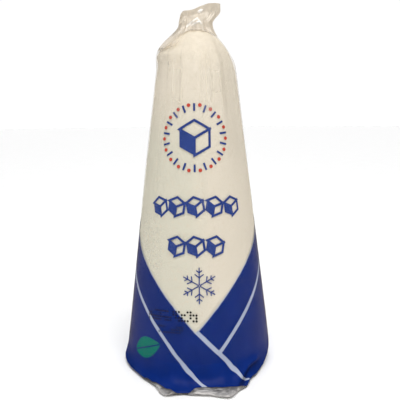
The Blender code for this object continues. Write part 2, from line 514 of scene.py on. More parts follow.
def shoulder_point(angle, height):
    share = shoulder_share(angle, height)
    wall = cone_radius(min(height, SHOULDER_HEIGHT))
    lift = relief(angle, height) * (1.0 - share)
    lift += PLEAT_DEPTH * pleat_wave(angle) * share * (1.4 - 0.4 * share)
    across = mix(wall, NECK_HALF_WIDTH, share) + lift
    deep = mix(wall, NECK_HALF_DEPTH, share) + lift
    x, y = across * math.sin(angle), -deep * math.cos(angle)
    least = dome_radius(height) + left_swell(x, height) + FILM_TO_DOME
    push = max(1.0, least / math.hypot(x, y))
    return (x * push, y * push, height)


print("film stands off the dome's front in mm:",
      [round(-1000 * shoulder_point(0.0, h * MM)[1] - 1000 * dome_radius(h * MM), 2)
       for h in (128, 132, 136, 140, 143)])

# %% [markdown]
# ### Tuft
#
# Above the neck the bundle opens and flattens into a crumpled ribbon with a slanting torn edge. A
# few sharp creases are pressed into its front. A crease is a line between two points: what lies
# near it is raised, and along the first four the film is painted white, a painted highlight of the
# glints that the creases catch.

# %% The skin of the tuft
TUFT_LEFT_TOP = 151.9 * MM
TUFT_LEFT_END = 6.2 * MM
TUFT_RIGHT_END = 10.3 * MM
TUFT_LEFT_BULGE = 0.8 * MM
TUFT_HALF_THICKNESS = 0.45 * MM
TUFT_WAVE, TUFT_FOLD = 1.1 * MM, 0.4 * MM
# Along the first creases the film is painted white: painted highlights of glints.
GLINTS_FROM = 144.0 * MM
GLINT_CREASES = 4
CREASES = (   # ends in x and height, rise and half width, all in mm: ridges on the tuft's front
    (-3.6, 145.0, 0.7, 148.7, 0.26, 0.50), (-1.6, 145.5, 1.1, 146.9, 0.22, 0.42),
    (1.2, 148.0, 2.3, 146.0, 0.22, 0.42), (1.5, 151.6, 2.4, 152.0, 0.36, 0.75),
    (4.5, 147.5, 7.2, 152.4, 0.30, 0.45), (-5.0, 147.0, -3.2, 150.2, 0.30, 0.40),
)


def torn_edge_height(x):
    """The torn edge climbs to the right, droops at both ends and is a little ragged."""
    across = x / MM
    climb = smooth((across + 4.0) / 10.2)
    droop = 0.5 * smooth((across - 7.5) / 3.0) + 1.7 * max((-across - 4.3) / 1.9, 0.0) ** 2
    ragged = 0.12 * math.sin(across / 0.9) * math.sin(across / 2.3 + 1.0)
    return mix(TUFT_LEFT_TOP, TOTAL_HEIGHT, climb) + (ragged - droop) * MM


def near_crease(x, z, crease):
    """1 on a crease's line, falling to 0 at its half width."""
    x0, z0, x1, z1, rise, half_width = crease
    run, climb = x1 - x0, z1 - z0
    u = ((x / MM - x0) * run + (z / MM - z0) * climb) / (run * run + climb * climb)
    u = min(max(u, 0.0), 1.0)
    off = math.hypot(x / MM - x0 - u * run, z / MM - z0 - u * climb)
    return max(1.0 - off / half_width, 0.0)


def tuft_creases(x, z):
    """Sharp ridges pressed into the gathered film."""
    return sum(crease[4] * MM * near_crease(x, z, crease) for crease in CREASES)


def tuft_glint(angle, x, y, z):
    """1 along the first sharp creases on the tuft's front, where a painted highlight whitens the
    film.
    """
    if math.cos(angle) < 0.0 or z < GLINTS_FROM:
        return 0.0
    return smooth(2.0 * max(near_crease(x, z, crease) for crease in CREASES[:GLINT_CREASES]))


def tuft_point(angle, share):
    """Point of the tuft; share runs from 0 at the neck to 1 at the torn edge."""
    left = NECK_HALF_WIDTH + TUFT_LEFT_BULGE * share
    left -= (NECK_HALF_WIDTH + TUFT_LEFT_BULGE - TUFT_LEFT_END) * share ** 2
    right = mix(NECK_HALF_WIDTH, TUFT_RIGHT_END, smooth(share * 1.5))
    thickness = mix(NECK_HALF_DEPTH, TUFT_HALF_THICKNESS, smooth(share * 1.5))
    side = math.sin(angle)
    pleat = PLEAT_DEPTH * pleat_wave(angle) * mix(1.0, 0.30, share)
    x = side * (right if side > 0.0 else left) + pleat * side
    z = mix(NECK_HEIGHT, torn_edge_height(x), share)
    wave = TUFT_WAVE * share * math.sin(x / (2.6 * MM) + 0.8)
    fold = TUFT_FOLD * abs(math.sin(x / (1.7 * MM) - 2.2 * share)) * math.sin(math.pi * share)
    thick = thickness + pleat * (1.0 - 0.8 * share)
    y = wave + fold - thick * math.cos(angle)
    if math.cos(angle) > 0.0:
        y -= tuft_creases(x, z) * smooth(math.cos(angle) * 4.0)
    return (x, y, z)


print("torn edge in mm:", [round(1000 * torn_edge_height(x * MM), 1) for x in (-6, -3, 0, 3, 9)])

# %% [markdown]
# ## How the film looks from place to place
#
# Four numbers are stored on every vertex of the film for its material. Haze says how milky the film
# is there, and its front bands stand in for soft light streaks as painted highlights. Shade says
# where painted shade darkens it: the left flanks of folds, a band at the right, under the tuck and
# down the left of the shoulder. Glint says where a painted highlight turns it white: along sharp
# creases, in streaks on the flap and in specks above the left band. Bare says how far the flap's
# film runs on past the ink, in millimetres. Stored numbers follow the folds exactly, which a noise
# pattern could not.

# %% Haze, shade and glint
# The front bands are painted highlights: soft light streaks drawn as whitish milky film.
HIGHLIGHT_STREAKS = (     # left and right edge in degrees, lowest and highest point in mm, haze, fade
    (-34.0, -17.0, 103.0, 134.0, 0.30, 3.0), (4.0, 20.0, 102.0, 138.0, 0.24, 3.0),
    (14.0, 36.0, 104.0, 134.0, 0.26, 3.0), (2.0, 12.0, 62.0, 92.0, 0.08, 3.0),
    (-50.0, -41.0, 70.0, 118.0, 0.10, 3.0),
    # The wide bands at the sides stay under a quarter: a milkier film counts as a surface of
    # its own for the render's denoiser, which then draws an outline round the band.
    (-142.0, -72.0, 62.0, 138.0, 0.23, 12.0), (72.0, 142.0, 62.0, 138.0, 0.23, 12.0),
)
CLEAR, UNDER_HAZE, LOOSE_HAZE, GATHERED_HAZE, TUFT_HAZE, GLINT_HAZE = (
    0.004, 0.4, 0.82, 0.96, 0.97, 0.98)
SPARKLE_SPECKS = 0.25
# Painted shade: the left flanks of folds, a band at the right, the tuck's underside and the left of
# the shoulder.
FLANK_SHADE, STEEP_FLANK, RIGHT_SHADE, TUCK_SHADE = 0.26, 0.45, 0.08, 0.9
LEFT_SHADE = (0.06, 0.52)           # below and above the shoulder's bulge
STAYS_CLEAR = (0.95 * MM, 0.45 * MM)    # distance from the dome, in front and at the sides
TURNS_MILKY = (1.9 * MM, 1.3 * MM)      # over this much more, in front and at the sides


def fold_shade(angle, height):
    """Painted shade in folds, from 0 to 1: on a tension fold's left flank, turned from the light,
    on a band at the right, and under the tuck's bulge.
    """
    step = math.radians(0.25)
    climb = tension_folds(angle + step, height) - tension_folds(angle - step, height)
    flank = FLANK_SHADE * smooth(climb / (2.0 * step * cone_radius(height)) / STEEP_FLANK)
    flank += RIGHT_SHADE * window(degrees_from_front(angle), 35.0, 2.5, 62.0, 12.0) * smooth(
        (height / MM - 84.0) / 16.0)
    line, present = tuck_line(angle)
    return max(flank, TUCK_SHADE * present * hump(height, line - 0.1 * MM, 0.75 * MM))


def wall_haze_and_highlights(angle, height):
    """Nearly clear, with a few milky bands: soft light streaks in front, painted highlights, and
    wider bands at the sides.
    """
    turn, up = degrees_from_front(angle), height / MM
    return CLEAR + sum(
        haze * window(turn, left, fade, right, fade) * window(up, lowest, fade + 13.0, highest, 9.0)
        for left, right, lowest, highest, haze, fade in HIGHLIGHT_STREAKS)


def sparkle_specks(angle, height):
    """Faint white speckles above the left band, stored with the glints: painted highlights of small
    sparkles.
    """
    turn, up = degrees_from_front(angle), height / MM
    above_band = smooth((up - 25.5 - 0.424 * abs(turn)) / 3.0)
    return SPARKLE_SPECKS * above_band * window(turn, -70.0, 10.0, -30.0, 12.0) * hump(up, 52.0, 15.0)


def bare_film(angle, height):
    return (ink_bottom(angle) - height) / MM * flatness(angle)


def flap_glint(angle, height):
    """Painted highlights of the flap: light streaks along its creases and along its folded lower
    edge.
    """
    x, y, z = skin_point(angle, height)
    crest = 1.0 - 2.2 * abs(noise.noise(Vector((0.45 * x, 2.2 * y, 0.0)) / (3.6 * MM)))
    edge = hump(height, 1.25 * MM, 0.22 * MM)
    return max(0.50 * smooth((crest - 0.82) / 0.16), 0.45 * edge) * smooth(
        (bare_film(angle, height) - 0.1) / 0.5)


def shoulder_shade(angle, height):
    """Painted shade: on the folds' left flanks, and on the loose film down the left of the
    shoulder.
    """
    up = height / MM
    left = mix(*LEFT_SHADE, smooth((up - 133.0) / 6.0)) * window(up, 118.0, 6.0, 149.0, 4.0)
    left *= window(degrees_from_front(angle), -150.0, 20.0, -50.0, 20.0)
    return max(left, fold_shade(angle, height) * (1.0 - shoulder_share(angle, height)))


def shoulder_haze(angle, height):
    """Milky where the film stands off the sugar's dome, most of all where it is gathered."""
    x, y, z = shoulder_point(angle, height)
    free = math.hypot(x, y) - dome_radius(min(z, SUGAR_TIP)) - left_swell(x, z)
    side = max(smooth((abs(math.sin(angle)) - 0.6) / 0.35),
               smooth((-22.0 - degrees_from_front(angle)) / 18.0))
    free -= mix(*STAYS_CLEAR, side)
    loose = LOOSE_HAZE * smooth(free / mix(*TURNS_MILKY, side))
    gathered = GATHERED_HAZE * smooth((z - 142.2 * MM) / (3.0 * MM))
    return max(loose * smooth((z - 125.0 * MM) / (4.0 * MM)), gathered,
               wall_haze_and_highlights(angle, height), 0.12 * smooth((z - 130.0 * MM) / (8.0 * MM)),
               GLINT_HAZE * tuft_glint(angle, x, y, z))


print("haze at 120 mm, left to right:",
      [round(wall_haze_and_highlights(math.radians(turn), 120.0 * MM), 2) for turn in (-90, -25, 0, 12, 90)])

# %% [markdown]
# ## The film
#
# The film's mesh is a loft through closed rings of the rule. Rings are packed closer where
# the film turns quickly, at the rim, the shoulder and the tuft, and the points of each ring
# are packed closer in front. Under the foot the film is folded flat in pleats. The torn edge
# is zipped shut, so the bag is one closed surface.

# %% Loft the film
FILM_SEGMENTS = 280
FRONT_CROWDING = 0.30
FOOT_RADIUS = 27.5 * MM
FOOT_PLEATS, FOOT_PLEAT_RISE, RIM_RISE = 16.0, 0.16 * MM, 0.30 * MM
FOOT_RINGS = (0.8, 6, 12, 18, 23, 27.5, 29.5)
RIM_RINGS = spread(0.55 * MM, 2.9 * MM, 17) + spread(3.1 * MM, 9.3 * MM, 30)
WALL_RINGS = spread(FLARE_TOP, 124.5 * MM, 106)
SHOULDER_RINGS = spread(125.2 * MM, NECK_HEIGHT, 52)
TUFT_RINGS = spread(0.03, 1.0, 44)
FAR_FROM_FLAP = -9.0


def ring_angles(count):
    steps = [2.0 * math.pi * i / count for i in range(count)]
    return [step - FRONT_CROWDING * math.sin(step) for step in steps]


def under_foot(angle, radius):
    """Film folded flat under the foot, in pleats that run out to the rim."""
    fold = 1.0 + math.cos(FOOT_PLEATS * angle + 0.5 * math.sin(3.0 * angle))
    lift = FOOT_PLEAT_RISE * fold * smooth(radius / FOOT_RADIUS)
    lift += RIM_RISE * smooth((radius - FOOT_RADIUS) / (2.0 * MM))
    return (radius * math.sin(angle), -radius * math.cos(angle), lift)


def shoulder_entry(angle, height):
    point = shoulder_point(angle, height)
    return (point, shoulder_haze(angle, height), shoulder_shade(angle, height),
            tuft_glint(angle, *point), FAR_FROM_FLAP)


def tuft_entry(angle, share):
    point = tuft_point(angle, share)
    return (point, TUFT_HAZE, 0.0, tuft_glint(angle, *point), FAR_FROM_FLAP)


def film_rows():
    """Rings of (point, haze, shade, glint, bare), from the foot's middle to the torn edge."""
    angles = ring_angles(FILM_SEGMENTS)
    rows = [[(under_foot(a, radius * MM), UNDER_HAZE, 0.0, 0.0, 0.0) for a in angles]
            for radius in FOOT_RINGS]
    for height in RIM_RINGS:
        rows.append([(skin_point(a, height), CLEAR, fold_shade(a, height),
                      flap_glint(a, height), bare_film(a, height)) for a in angles])
    for height in WALL_RINGS:
        rows.append([(skin_point(a, height), wall_haze_and_highlights(a, height), fold_shade(a, height),
                      sparkle_specks(a, height), FAR_FROM_FLAP) for a in angles])
    rows += [[shoulder_entry(a, height) for a in angles] for height in SHOULDER_RINGS]
    rows += [[tuft_entry(a, share) for a in angles] for share in TUFT_RINGS]
    return rows


def plain_mesh(name, mesh):
    """Turns the working mesh into plain mesh data."""
    data = bpy.data.meshes.new(name)
    mesh.to_mesh(data)
    mesh.free()
    return data


def loft(name, rings, labels):
    """Joins the rings by bands of faces, closes the foot and zips the torn edge."""
    mesh = bmesh.new()
    layers = [mesh.verts.layers.float.new(label) for label in labels]
    rows = []
    for ring in rings:
        rows.append([mesh.verts.new(entry[0]) for entry in ring])
        for vertex, entry in zip(rows[-1], ring):
            for layer, value in zip(layers, entry[1:]):
                vertex[layer] = value
    mesh.faces.new(list(reversed(rows[0])))
    for lower, upper in zip(rows, rows[1:]):
        for i in range(len(lower)):
            j = (i + 1) % len(lower)
            mesh.faces.new((lower[i], lower[j], upper[j], upper[i]))
    top, count = rows[-1], len(rows[-1])
    left_end = count - count // 4
    for i in range(count // 2):
        corners = [top[(left_end + i) % count], top[(left_end + i + 1) % count],
                   top[(left_end - i - 1) % count], top[(left_end - i) % count]]
        mesh.faces.new(list(dict.fromkeys(corners)))
    bmesh.ops.recalc_face_normals(mesh, faces=mesh.faces)
    data = plain_mesh(name, mesh)
    data.shade_smooth()
    return in_scene(name, data)


FILM_LABELS = ("haze", "shade", "glint", "bare")
film = loft("film_bag", film_rows(), FILM_LABELS)
print("film:", len(film.data.polygons), "faces")

# %% [markdown]
# ### Film finish
#
# Clear film shows what lies behind it, mirrors the lights more strongly at a shallow angle, and
# turns milky where many layers are crumpled together. So the shader mixes three things: a clear
# surface, a soft scattering one by the stored milkiness, and gloss by Fresnel. The gathered film is
# glossier than the tight wall, and the flap on the floor is greyer than the tuft, which the sugar's
# light fills with cream; the flap's grey, darkest next to the ink, is painted shade. Where the film
# is seen edge-on the way through it is longer, so it takes away more light; its milky colour is
# darkened there too, a painted shade, which draws the fine grey outline of the bag. The stored
# shade darkens the film in the same way, as painted shade. Along sharp creases and in specks above
# the left band the film is painted white, as painted highlights.

# %% Film material
# The flap's grey, darkest next to the ink, is painted shade. The shaded colours are painted shade
# on folds and where the film is seen edge-on. The white is a painted highlight along glints, and
# the whitish wall colour carries the painted highlight streaks.
CREAM_FILM = ((0.84, 0.775, 0.67), (0.88, 0.815, 0.71))
SHADED_FLAP_FILM = ((0.13, 0.125, 0.13), (0.76, 0.74, 0.73))
WALL_FILM = (0.97, 0.945, 0.885)
SHADED_FILM = (0.50, 0.455, 0.39)
GLINT_WHITE = (1.0, 0.98, 0.93)
SHORT_WAY, LONG_WAY_AND_SHADE = (0.975, 0.966, 0.950), (0.55, 0.53, 0.50)
GLOSS_COLOUR = (1.0, 0.92, 0.84, 1.0)
TAUT_INDEX, LOOSE_INDEX = 1.22, 1.42    # refractive indices
TAUT_MIRROR, LOOSE_MIRROR = 0.015, 0.22  # the most that each part mirrors


def film_tint(tree, height, mottle, shade, glint, bare):
    """Colour of the milky film: cream at the top; grey in the flap, darkest next to the ink, a
    painted shade; darker where shade is given, a painted shade; white where glint is given, a
    painted highlight.
    """
    cream = blend_colour(tree, ramp(tree, mottle, 0.3, 0.7), *CREAM_FILM)
    outwards = calc(tree, "ADD", ramp(tree, bare, 0.2, 1.9, -0.05, 0.85),
                    ramp(tree, mottle, 0.35, 0.65, -0.18, 0.28))
    grey = blend_colour(tree, outwards, *SHADED_FLAP_FILM)
    bright = blend_colour(tree, ramp(tree, height, 126.0 * MM, 132.0 * MM), WALL_FILM, cream)
    lit = blend_colour(tree, ramp(tree, height, 10.0 * MM, 30.0 * MM), grey, bright)
    return blend_colour(tree, glint, blend_colour(tree, shade, lit, SHADED_FILM), GLINT_WHITE)


def film_milk(tree, haze, mottle, glint, bare):
    """How milky the film is: as stored, and as it is past the ink; and the same with specks."""
    stored = calc(tree, "MAXIMUM", haze, ramp(tree, bare, 0.0, 0.25, 0.0, 0.92))
    speckle = ramp(tree, pattern(tree, 1.3 * MM), 0.50, 0.60, 0.0, 0.80)
    milky = add(tree, "ShaderNodeMath", {
        0: times(tree, stored, ramp(tree, mottle, 0.3, 0.7, 0.94, 1.03)),
        1: times(tree, glint, speckle)}, operation="MAXIMUM", use_clamp=True).outputs[0]
    return stored, milky


def film_mirror(tree, height, stored, glint, bump):
    """How much of the light the film mirrors: little where taut, more where gathered."""
    taut = add(tree, "ShaderNodeFresnel", {"IOR": TAUT_INDEX}).outputs[0]
    loose = add(tree, "ShaderNodeFresnel", {"IOR": LOOSE_INDEX, "Normal": bump}).outputs[0]
    gathered = ramp(tree, stored, 0.2, 0.8)
    tight = times(tree, calc(tree, "MINIMUM", taut, TAUT_MIRROR),
                  ramp(tree, height, 3.0 * MM, 14.0 * MM, 0.4, 1.0))
    mirror = calc(tree, "ADD", times(tree, tight, minus(tree, 1.0, gathered)),
                  times(tree, calc(tree, "MINIMUM", loose, LOOSE_MIRROR), gathered))
    crest = times(tree, glint, times(tree, 0.42, ramp(tree, stored, 0.9, 0.96)))
    return calc(tree, "MAXIMUM", mirror, crest)


def film_finish():
    material, tree = new_material("clear_film")
    haze, shade, glint, bare = (
        add(tree, "ShaderNodeAttribute", attribute_name=label).outputs["Fac"]
        for label in FILM_LABELS)
    height = split(tree, own_place(tree))["Z"]
    mottle = pattern(tree, 2.6 * MM, 3.0)
    stored, milky = film_milk(tree, haze, mottle, glint, bare)
    bump = add(tree, "ShaderNodeBump", {
        "Height": pattern(tree, 2.2 * MM), "Strength": 0.20, "Distance": 0.08 * MM}).outputs[0]
    facing = add(tree, "ShaderNodeLayerWeight", {"Blend": 0.5}).outputs["Facing"]
    # Seen edge-on the film lets less through, and its milky colour is darkened as well, a painted
    # edge shade; the stored painted shade darkens it in the same way.
    lost = calc(tree, "MAXIMUM", shade, ramp(tree, facing, 0.76, 0.96, 0.0, 0.28))
    tint = film_tint(tree, height, mottle, lost, glint, bare)
    clear = add(tree, "ShaderNodeBsdfTransparent", {
        "Color": blend_colour(tree, lost, SHORT_WAY, LONG_WAY_AND_SHADE)})
    soft = add(tree, "ShaderNodeBsdfDiffuse", {"Color": tint})
    through = add(tree, "ShaderNodeBsdfTranslucent", {"Color": tint})
    milk = add(tree, "ShaderNodeMixShader", {
        0: ramp(tree, glint, 0.0, 0.5, 0.42, 0.05), 1: soft.outputs[0], 2: through.outputs[0]})
    body = add(tree, "ShaderNodeMixShader", {0: milky, 1: clear.outputs[0], 2: milk.outputs[0]})
    gloss = add(tree, "ShaderNodeBsdfAnisotropic", {
        "Color": GLOSS_COLOUR, "Normal": bump, "Roughness": calc(
            tree, "MAXIMUM", ramp(tree, stored, 0.0, 0.8, 0.36, 0.14),
            times(tree, glint, 0.55))})
    finish_with(tree, add(tree, "ShaderNodeMixShader", {
        0: film_mirror(tree, height, stored, glint, bump), 1: body.outputs[0],
        2: gloss.outputs[0]}))
    return material


film.data.materials.append(film_finish())
print("film finish:", len(film.data.materials[0].node_tree.nodes), "nodes")

# %% [markdown]
# ## The sugar
#
# The loaf's form follows a rule: a rounded foot edge, a cone that bulges a little and an
# egg-shaped tip. That suits Geometry Nodes. A straight line carries the rule as its radius, a
# circle is swept along it, and noise along the normals presses the uneven surface of the
# mould into it. It stays a quarter of a millimetre or more inside the film, so that the ink
# fits between them.
#
# First come the helpers that every tree of Geometry Nodes shares: one starts it with named
# inputs, one ends it, and one runs it and keeps the plain mesh that it makes.

# %% Geometry Nodes helpers
def new_tree(name, inputs):
    """An empty Geometry Nodes tree with named number inputs; gives tree, inputs and result."""
    tree = bpy.data.node_groups.new(name, "GeometryNodeTree")
    face = tree.interface
    face.new_socket("Geometry", in_out="INPUT", socket_type="NodeSocketGeometry")
    for label, value in inputs.items():
        kind = "NodeSocketInt" if isinstance(value, int) else "NodeSocketFloat"
        face.new_socket(label, in_out="INPUT", socket_type=kind).default_value = value
    face.new_socket("Geometry", in_out="OUTPUT", socket_type="NodeSocketGeometry")
    return tree, tree.nodes.new("NodeGroupInput").outputs, tree.nodes.new("NodeGroupOutput")


def end_tree(tree, geometry, material, result):
    """Every tree ends the same way: real geometry with its material."""
    realized = add(tree, "GeometryNodeRealizeInstances", {"Geometry": geometry})
    painted = add(tree, "GeometryNodeSetMaterial", {
        "Geometry": realized.outputs[0], "Material": material})
    tree.links.new(painted.outputs[0], result.inputs[0])
    return tree


def grow(name, tree, inputs, mesh=None):
    """Runs the tree on a new object and keeps only the plain mesh that it makes."""
    holder = in_scene(name + "_rule", mesh or bpy.data.meshes.new(name + "_rule"))
    modifier = holder.modifiers.new("rule", "NODES")
    modifier.node_group = tree
    for item in tree.interface.items_tree:
        if item.in_out == "INPUT" and item.name in inputs:
            modifier[item.identifier] = inputs[item.name]
    graph = bpy.context.evaluated_depsgraph_get()
    data = bpy.data.meshes.new_from_object(holder.evaluated_get(graph))
    data.name = name
    bpy.data.objects.remove(holder)
    return in_scene(name, data)

# %% [markdown]
# ### Sugar finish
#
# Pressed sugar is matt and off-white. Close up it is made of crystals under half a millimetre
# across, with pits between them, painted darker as painted shade in the hollows, and whole patches
# are a little warmer than others. The lower part is painted a little darker and greyer, most of all
# at the left, a painted shade. The crystals come from a cell pattern, the pits and patches from
# noise.

# %% Sugar material
# The lower loaf's colours and the pit colour are painted shade: darker and greyer below, most of
# all at the left, and darker in the hollows between the crystals.
SHADED_LOWER_SUGAR = ((0.770, 0.748, 0.634), (0.825, 0.760, 0.648))    # left and right
UPPER_SUGAR = ((0.855, 0.785, 0.665), (0.880, 0.812, 0.695))    # patch by patch
SHADED_SUGAR_PIT = (0.79, 0.72, 0.59)


def sugar_finish():
    material, tree = new_material("pressed_sugar")
    place = own_place(tree)
    crystals = add(tree, "ShaderNodeTexVoronoi", {"Vector": place, "Scale": 1.0 / (0.75 * MM)})
    grain = pattern(tree, 1.1 * MM, 3.0, 0.6)
    patches = ramp(tree, pattern(tree, 9.0 * MM, 3.0), 0.35, 0.65)
    spot = split(tree, place)
    lower = blend_colour(tree, ramp(tree, spot["X"], -4.0 * MM, 6.0 * MM), *SHADED_LOWER_SUGAR)
    base = blend_colour(tree, ramp(tree, spot["Z"], 96.0 * MM, 118.0 * MM),
                        lower, blend_colour(tree, patches, *UPPER_SUGAR))
    colour = blend_colour(tree, ramp(tree, grain, 0.30, 0.46, 1.0, 0.0), base, SHADED_SUGAR_PIT)
    bump = add(tree, "ShaderNodeBump", {
        "Height": calc(tree, "ADD", crystals.outputs["Distance"], grain),
        "Strength": 0.45, "Distance": 0.12 * MM})
    finish_with(tree, add(tree, "ShaderNodeBsdfPrincipled", {
        "Base Color": colour, "Roughness": 0.85, "Specular IOR Level": 0.20,
        "Normal": bump.outputs[0]}))
    return material


sugar_material = sugar_finish()
print("sugar finish:", len(sugar_material.node_tree.nodes), "nodes")

# %% [markdown]
# ### The loaf's rule in nodes
#
# The line's own run, from 0 to 1, is shared out: the first part turns the foot's rounded
# edge, the long middle part climbs the cone and the rest turns the dome. The dome starts at
# the angle where its side is as steep as the cone, so the two join without a bend. Two small
# sideways moves follow the film: the full left shoulder and the foot's shift.

# %% Height and radius along the loaf
SUGAR_SIZES = {
    "Foot Radius": 32.12 * MM, "Foot Height": 0.7 * MM, "Edge Round": 4.2 * MM,
    "Bulge": 0.28 * MM, "Dome Half Width": DOME_HALF_WIDTH,
    "Dome Half Height": DOME_HALF_HEIGHT, "Tip Height": SUGAR_TIP,
    "Join Turn": math.atan(SLOPE * DOME_HALF_HEIGHT / DOME_HALF_WIDTH),
    "Relief": 0.42 * MM, "Blotch Size": 4.5 * MM, "Seed": 3, "Swell": LEFT_SWELL - 0.15 * MM,
    "Swell Height": SWELL_HEIGHT, "Swell Half": SWELL_HALF, "Foot Shift": FOOT_SHIFT,
}
EDGE_END, CONE_END = 0.03, 0.72     # shares of the line's run
POLE_GAP = 0.012
QUARTER = math.pi / 2.0


def loaf_rule(tree, size):
    """Height and radius along the line: foot edge, then cone, then dome."""
    along = add(tree, "GeometryNodeSplineParameter").outputs["Factor"]
    edge_turn = ramp(tree, along, 0.0, EDGE_END, 0.0, QUARTER)
    cone_run = ramp(tree, along, EDGE_END, CONE_END)
    dome_run = ramp(tree, along, CONE_END, 1.0)
    join, edge = size["Join Turn"], size["Edge Round"]
    wide, high = size["Dome Half Width"], size["Dome Half Height"]
    dome_turn = calc(tree, "MULTIPLY_ADD", dome_run, minus(tree, QUARTER - POLE_GAP, join), join)
    join_radius = times(tree, wide, calc(tree, "COSINE", join))
    centre = minus(tree, size["Tip Height"], high)
    join_height = calc(tree, "MULTIPLY_ADD", high, calc(tree, "SINE", join), centre)
    cut_in = times(tree, edge, minus(tree, 1.0, calc(tree, "SINE", edge_turn)))
    narrowing = times(tree, cone_run, minus(tree, size["Foot Radius"], join_radius))
    side = minus(tree, minus(tree, size["Foot Radius"], cut_in), narrowing)
    swell = times(tree, size["Bulge"], calc(tree, "SINE", times(tree, cone_run, math.pi)))
    drawn_in = minus(tree, join_radius, times(tree, wide, calc(tree, "COSINE", dome_turn)))
    radius = minus(tree, calc(tree, "ADD", side, swell), drawn_in)
    foot = calc(tree, "ADD", size["Foot Height"], edge)
    low = minus(tree, foot, times(tree, edge, calc(tree, "COSINE", edge_turn)))
    climb = times(tree, cone_run, minus(tree, join_height, foot))
    rise = times(tree, high, minus(
        tree, calc(tree, "SINE", dome_turn), calc(tree, "SINE", join)))
    return calc(tree, "ADD", calc(tree, "ADD", low, climb), rise), radius


def sideways(tree, size):
    """Moves along x: the left shoulder out, as in left_swell, and the foot, as in foot_shift."""
    place = split(tree, add(tree, "GeometryNodeInputPosition").outputs[0])
    foot = soft_ramp(tree, place["Z"], FOOT_SHIFT_TOP, 0.0)
    side = soft_ramp(tree, place["X"], 0.0, -SWELL_REACH)
    off = calc(tree, "DIVIDE", minus(tree, place["Z"], size["Swell Height"]), size["Swell Half"])
    bump = calc(tree, "EXPONENT", times(tree, times(tree, off, off), -1.0))
    out = times(tree, times(tree, side, bump), size["Swell"])
    out = calc(tree, "MULTIPLY_ADD", foot, size["Foot Shift"], out)
    return joined(tree, X=times(tree, out, -1.0))

# %% Sweep the loaf
RINGS = SIDES = 220


def sugar_tree():
    """Sweeps a circle up a line whose radius and height follow the loaf's rule."""
    tree, size, result = new_tree("sugar_loaf", SUGAR_SIZES)
    height, radius = loaf_rule(tree, size)
    line = add(tree, "GeometryNodeCurvePrimitiveLine", {"End": (0.0, 0.0, 1.0)})
    points = add(tree, "GeometryNodeResampleCurve", {"Curve": line.outputs[0], "Count": RINGS})
    sized = add(tree, "GeometryNodeSetCurveRadius", {
        "Curve": points.outputs[0], "Radius": radius})
    placed = add(tree, "GeometryNodeSetPosition", {
        "Geometry": sized.outputs[0], "Position": joined(tree, Z=height)})
    circle = add(tree, "GeometryNodeCurvePrimitiveCircle", {"Resolution": SIDES, "Radius": 1.0})
    swept = add(tree, "GeometryNodeCurveToMesh", {
        "Curve": placed.outputs[0], "Profile Curve": circle.outputs[0],
        "Scale": add(tree, "GeometryNodeInputRadius").outputs[0], "Fill Caps": True})
    lumps = add(tree, "ShaderNodeTexNoise", {
        "W": size["Seed"], "Scale": calc(tree, "DIVIDE", 1.0, size["Blotch Size"]),
        "Detail": 4.0, "Roughness": 0.62}, noise_dimensions="4D")
    press = times(tree, minus(tree, lumps.outputs["Fac"], 0.58), size["Relief"])
    outwards = add(tree, "ShaderNodeVectorMath", {
        0: add(tree, "GeometryNodeInputNormal").outputs[0], "Scale": press}, operation="SCALE")
    pressed = add(tree, "GeometryNodeSetPosition", {
        "Geometry": swept.outputs[0], "Offset": outwards.outputs[0]})
    shifted = add(tree, "GeometryNodeSetPosition", {
        "Geometry": pressed.outputs[0], "Offset": sideways(tree, size)})
    rounded = add(tree, "GeometryNodeSetShadeSmooth", {"Geometry": shifted.outputs[0]})
    return end_tree(tree, rounded.outputs[0], sugar_material, result)


def box_in_mm(piece):
    spots = [v.co for v in piece.data.vertices]
    return [round(1000 * f(s[k] for s in spots), 1) for f in (min, max) for k in range(3)]


sugar = grow("sugar_loaf", sugar_tree(), SUGAR_SIZES)
print("sugar:", len(sugar.data.polygons), "faces, box in mm", box_in_mm(sugar))

# %% [markdown]
# ### Crystals and crumbs
#
# Loose crystals cling to the wall and rub off between sugar and film. They are tiny cubes, a
# crystal's own form, scattered over the upper loaf by Geometry Nodes and made real, because
# instances would be lost on export. A second run of the same tree gives larger crumbs, which
# have gathered above the left band.

# %% Scattered crystals
PER_SQUARE_MM = 1e6
NO_LIMIT = 1.0
CRYSTAL_FORM = (1.0, 0.8, 0.7)
ANY_TURN = (6.28, 6.28, 6.28)
SMALLEST_GRAIN, LARGEST_GRAIN = 0.45, 1.25


